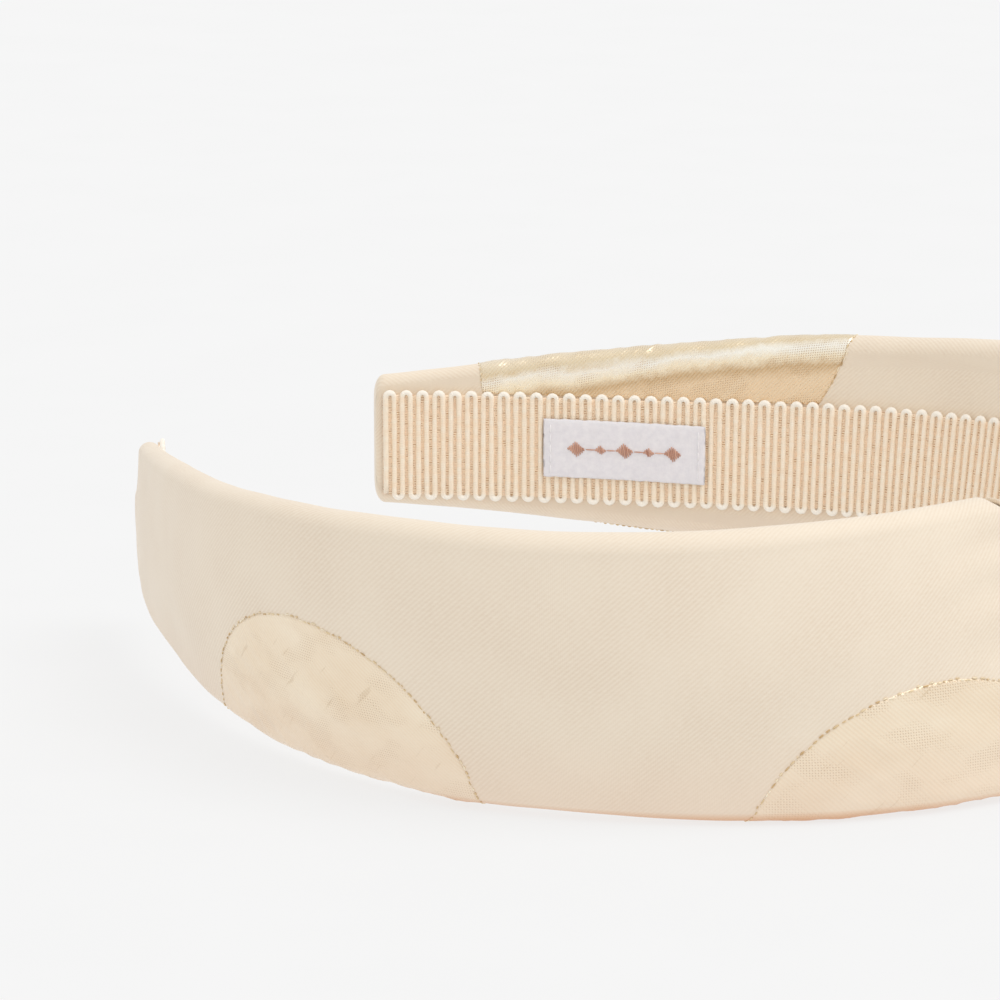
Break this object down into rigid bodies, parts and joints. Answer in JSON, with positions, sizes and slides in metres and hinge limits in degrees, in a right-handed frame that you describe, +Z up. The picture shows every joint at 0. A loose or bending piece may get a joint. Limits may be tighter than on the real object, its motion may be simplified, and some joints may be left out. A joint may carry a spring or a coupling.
{
  "type": "knotted headband",
  "caption": "Padded child's headband with a soft knot at the crown, dotted satin cover, ribbed lining ribbon and two springy arms.",
  "frame": {"origin": "centre of the footprint, on the surface the band lies on, with the band lying on its edge", "axes": "+X from the tips towards the knot at the crown, +Y towards the left arm, +Z up, across the height of the band"},
  "size_m": [0.1513, 0.1427, 0.0374],
  "materials": {
    "satin": "ivory satin twill",
    "gold_lame": "pale gold metallic weave",
    "ribbed_ribbon": "peach grosgrain, ribbed across",
    "spring_strip": "plain moulded strip",
    "foam": "open foam",
    "label_satin": "white satin",
    "thread": "spun thread"
  },
  "bodies": {
    "crown": {"hoop_crown": "spring_strip", "foam_crown": "foam", "cover_left_crown": "satin", "cover_right_crown": "satin", "lining_crown": "ribbed_ribbon", "knot_left_loop": "satin", "knot_right_loop": "satin", "knot_tack_upper": "thread", "knot_tack_lower": "thread", "dot_knot": "gold_lame", "dot_left_crown": "gold_lame", "dot_right_crown": "gold_lame"},
    "left_arm": {"hoop_left_arm": "spring_strip", "foam_left_arm": "foam", "cover_left_arm": "satin", "lining_left_arm": "ribbed_ribbon", "dot_left_tip": "gold_lame", "dot_left_mid": "gold_lame", "label": "label_satin", "label_stitch_tip": "thread", "label_stitch_crown": "thread"},
    "right_arm": {"hoop_right_arm": "spring_strip", "foam_right_arm": "foam", "cover_right_arm": "satin", "lining_right_arm": "ribbed_ribbon", "dot_right_mid": "gold_lame"}
  },
  "joints": [
    {"name": "left_arm_flex", "type": "hinge", "parent": "crown", "child": "left_arm", "pos_m": [0.03259, 0.0647, 0.0186], "axis": [0, 0, -1], "range_deg": [0, 18], "stiffness_Nm_per_rad": 1},
    {"name": "right_arm_flex", "type": "hinge", "parent": "crown", "child": "right_arm", "pos_m": [0.03259, -0.0647, 0.0186], "axis": [0, 0, 1], "range_deg": [0, 18], "stiffness_Nm_per_rad": 1}
  ]
}
